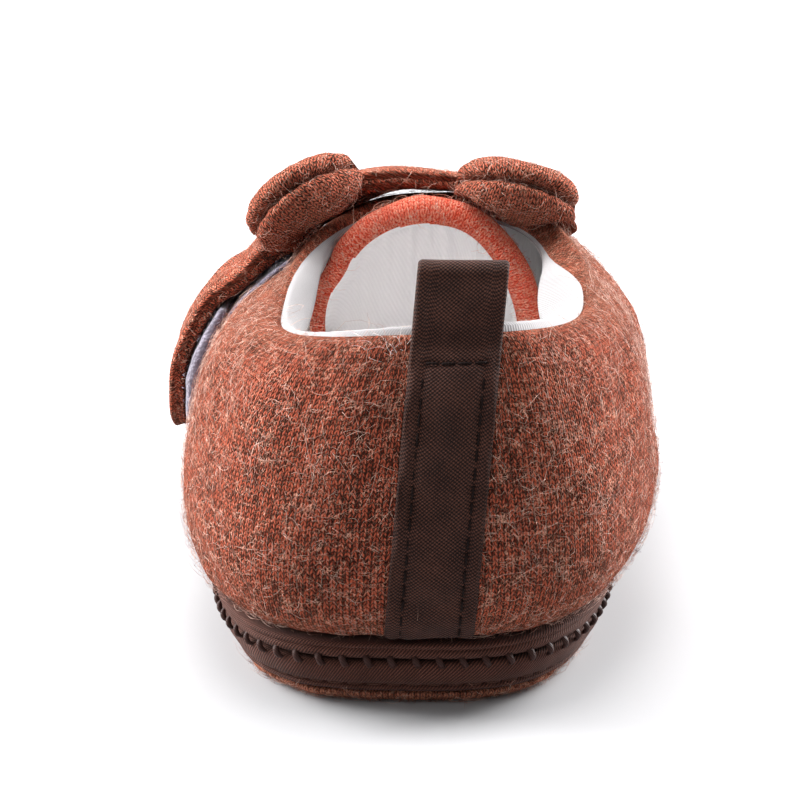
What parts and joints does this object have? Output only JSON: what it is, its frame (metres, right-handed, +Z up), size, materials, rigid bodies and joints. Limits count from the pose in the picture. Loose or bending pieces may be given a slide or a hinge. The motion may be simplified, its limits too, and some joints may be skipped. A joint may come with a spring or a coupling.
{
  "type": "baby shoe",
  "caption": "Soft padded baby shoe with a knit upper, rolled collar, short tongue, instep strap with two stuffed ears, heel pull tab and cloth-covered sole.",
  "frame": {"origin": "on the floor under the middle of the shoe's box: the box runs as far to each side of it across and along the shoe", "axes": "+Z up from the floor, +Y from the heel to the toe, +X to the inner side of the foot (the wearer's right for this left shoe)"},
  "size_m": [0.0706, 0.1254, 0.0606],
  "materials": {
    "knit": "fuzzy",
    "canvas": "matte",
    "tongue_knit": "fuzzy",
    "lining": "matte",
    "hook_loop": "fuzzy"
  },
  "bodies": {
    "root": {"outsole": "knit", "midsole": "canvas", "welt": "canvas", "insole": "lining", "upper": "knit", "tongue": "tongue_knit", "loop_tape": "hook_loop", "hook_tape": "hook_loop", "strap": "knit", "ear_outer": "knit", "ear_inner": "knit", "heel_tab": "canvas"}
  },
  "joints": []
}
